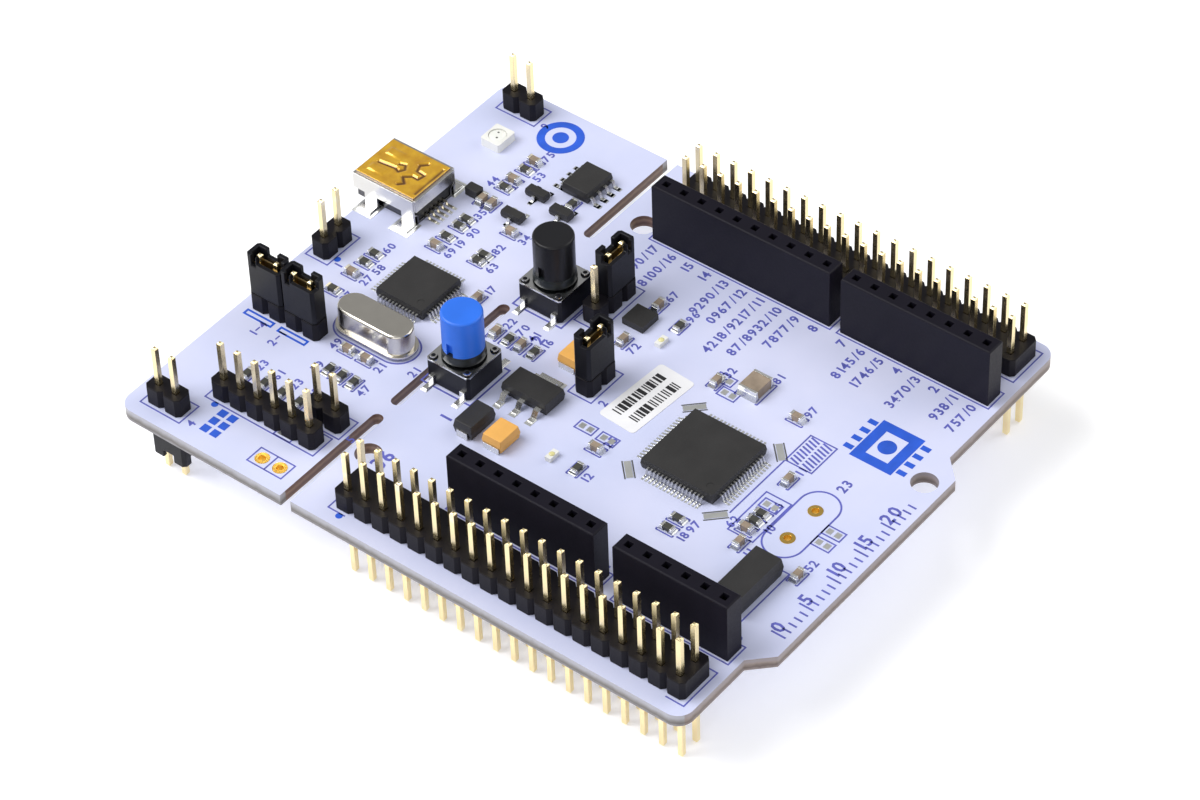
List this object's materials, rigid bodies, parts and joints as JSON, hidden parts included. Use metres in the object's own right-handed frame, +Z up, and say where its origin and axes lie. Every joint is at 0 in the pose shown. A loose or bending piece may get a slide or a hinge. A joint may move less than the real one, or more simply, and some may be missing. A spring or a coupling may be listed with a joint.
{
  "type": "microcontroller development board",
  "caption": "Flat circuit board carrying a microcontroller, pin headers and sockets, a USB socket, pull-off jumper shunts and press buttons, for wiring up electronics.",
  "frame": {"origin": "middle of the bounding box at the height of the pin tips the board stands on", "axes": "+X towards the right pin field, +Y towards the USB socket, +Z up out of the face that carries the parts"},
  "size_m": [0.07, 0.0838, 0.0203],
  "materials": {
    "solder_mask": "satin pale lavender solder mask over glass-epoxy laminate",
    "header_plastic": "black moulded nylon",
    "socket_plastic": "black moulded nylon, satin",
    "shunt_plastic": "black moulded nylon",
    "pin_gold": "pale gold flash",
    "contact_metal": "pale tinned bronze",
    "clip_metal": "gold-flashed bronze",
    "usb_steel": "bright nickel plate",
    "usb_plastic": "black",
    "amber_tape": "amber film, glossy",
    "switch_plastic": "black",
    "switch_metal": "bright",
    "plunger_plastic": "black",
    "cap_black": "satin",
    "cap_blue": "satin",
    "chip_plastic": "fine moulded black",
    "lead_tin": "matte tin",
    "tantalum_plastic": "yellow-orange",
    "crystal_metal": "satin nickel",
    "led_plastic": "white",
    "resistor_ceramic": "dark glaze",
    "capacitor_ceramic": "grey-brown ceramic",
    "end_cap_tin": "tin",
    "label_paper": "white paper"
  },
  "bodies": {
    "board": {"circuit_board": "solder_mask", "left_header_base": "header_plastic", "left_header_pins": "pin_gold", "right_header_base": "header_plastic", "right_header_pins": "pin_gold", "power_socket": "socket_plastic", "analog_socket": "socket_plastic", "digital_socket_long": "socket_plastic", "digital_socket_short": "socket_plastic", "socket_contacts": "contact_metal", "corner_header_bases": "header_plastic", "link_header_base": "header_plastic", "debug_header_base": "header_plastic", "option_header_bases": "header_plastic", "power_select_base": "header_plastic", "small_header_pins": "pin_gold", "usb_shell": "usb_steel", "usb_insulator": "usb_plastic", "usb_contacts": "contact_metal", "usb_tape": "amber_tape", "reset_base": "switch_plastic", "user_base": "switch_plastic", "switch_covers": "switch_metal", "switch_terminals": "lead_tin", "switch_domes": "switch_metal", "mcu_body": "chip_plastic", "mcu_leads": "lead_tin", "link_chip_body": "chip_plastic", "link_chip_leads": "lead_tin", "interface_chip_body": "chip_plastic", "sot_bodies": "chip_plastic", "regulator_body": "chip_plastic", "small_chip_leads": "lead_tin", "power_switch_chip": "chip_plastic", "diodes": "chip_plastic", "tantalum_capacitors": "tantalum_plastic", "power_part_terminals": "lead_tin", "crystal_can": "crystal_metal", "slow_crystal": "chip_plastic", "indicator_leds": "led_plastic", "resistors": "resistor_ceramic", "ceramic_capacitors": "capacitor_ceramic", "chip_end_caps": "end_cap_tin", "product_label": "label_paper"},
    "reset_button": {"reset_cap": "cap_black", "reset_plunger": "plunger_plastic"},
    "user_button": {"user_cap": "cap_blue", "user_plunger": "plunger_plastic"},
    "link_shunt_rear": {"link_shunt_rear": "shunt_plastic", "link_shunt_rear_clip": "clip_metal"},
    "link_shunt_front": {"link_shunt_front": "shunt_plastic", "link_shunt_front_clip": "clip_metal"},
    "power_shunt": {"power_shunt": "shunt_plastic", "power_shunt_clip": "clip_metal"},
    "current_shunt": {"current_shunt": "shunt_plastic", "current_shunt_clip": "clip_metal"},
    "spare_shunt_left": {"spare_shunt_left": "shunt_plastic", "spare_shunt_left_clip": "clip_metal"},
    "spare_shunt_right": {"spare_shunt_right": "shunt_plastic", "spare_shunt_right_clip": "clip_metal"}
  },
  "joints": [
    {"name": "reset_press", "type": "slide", "parent": "board", "child": "reset_button", "axis": [0, 0, -1], "range_m": [0, 0.00025], "stiffness_N_per_m": 4000, "springref_m": -0.0001},
    {"name": "user_press", "type": "slide", "parent": "board", "child": "user_button", "axis": [0, 0, -1], "range_m": [0, 0.00025], "stiffness_N_per_m": 4000, "springref_m": -0.0001},
    {"name": "link_shunt_rear_pull", "type": "slide", "parent": "board", "child": "link_shunt_rear", "axis": [0, 0, 1], "range_m": [0, 0.0062]},
    {"name": "link_shunt_front_pull", "type": "slide", "parent": "board", "child": "link_shunt_front", "axis": [0, 0, 1], "range_m": [0, 0.0062]},
    {"name": "power_shunt_pull", "type": "slide", "parent": "board", "child": "power_shunt", "axis": [0, 0, 1], "range_m": [0, 0.0062]},
    {"name": "current_shunt_pull", "type": "slide", "parent": "board", "child": "current_shunt", "axis": [0, 0, 1], "range_m": [0, 0.0062]},
    {"name": "spare_shunt_left_pull", "type": "slide", "parent": "board", "child": "spare_shunt_left", "axis": [0, 0, -1], "range_m": [0, 0.0085]},
    {"name": "spare_shunt_right_pull", "type": "slide", "parent": "board", "child": "spare_shunt_right", "axis": [0, 0, -1], "range_m": [0, 0.0085]}
  ]
}
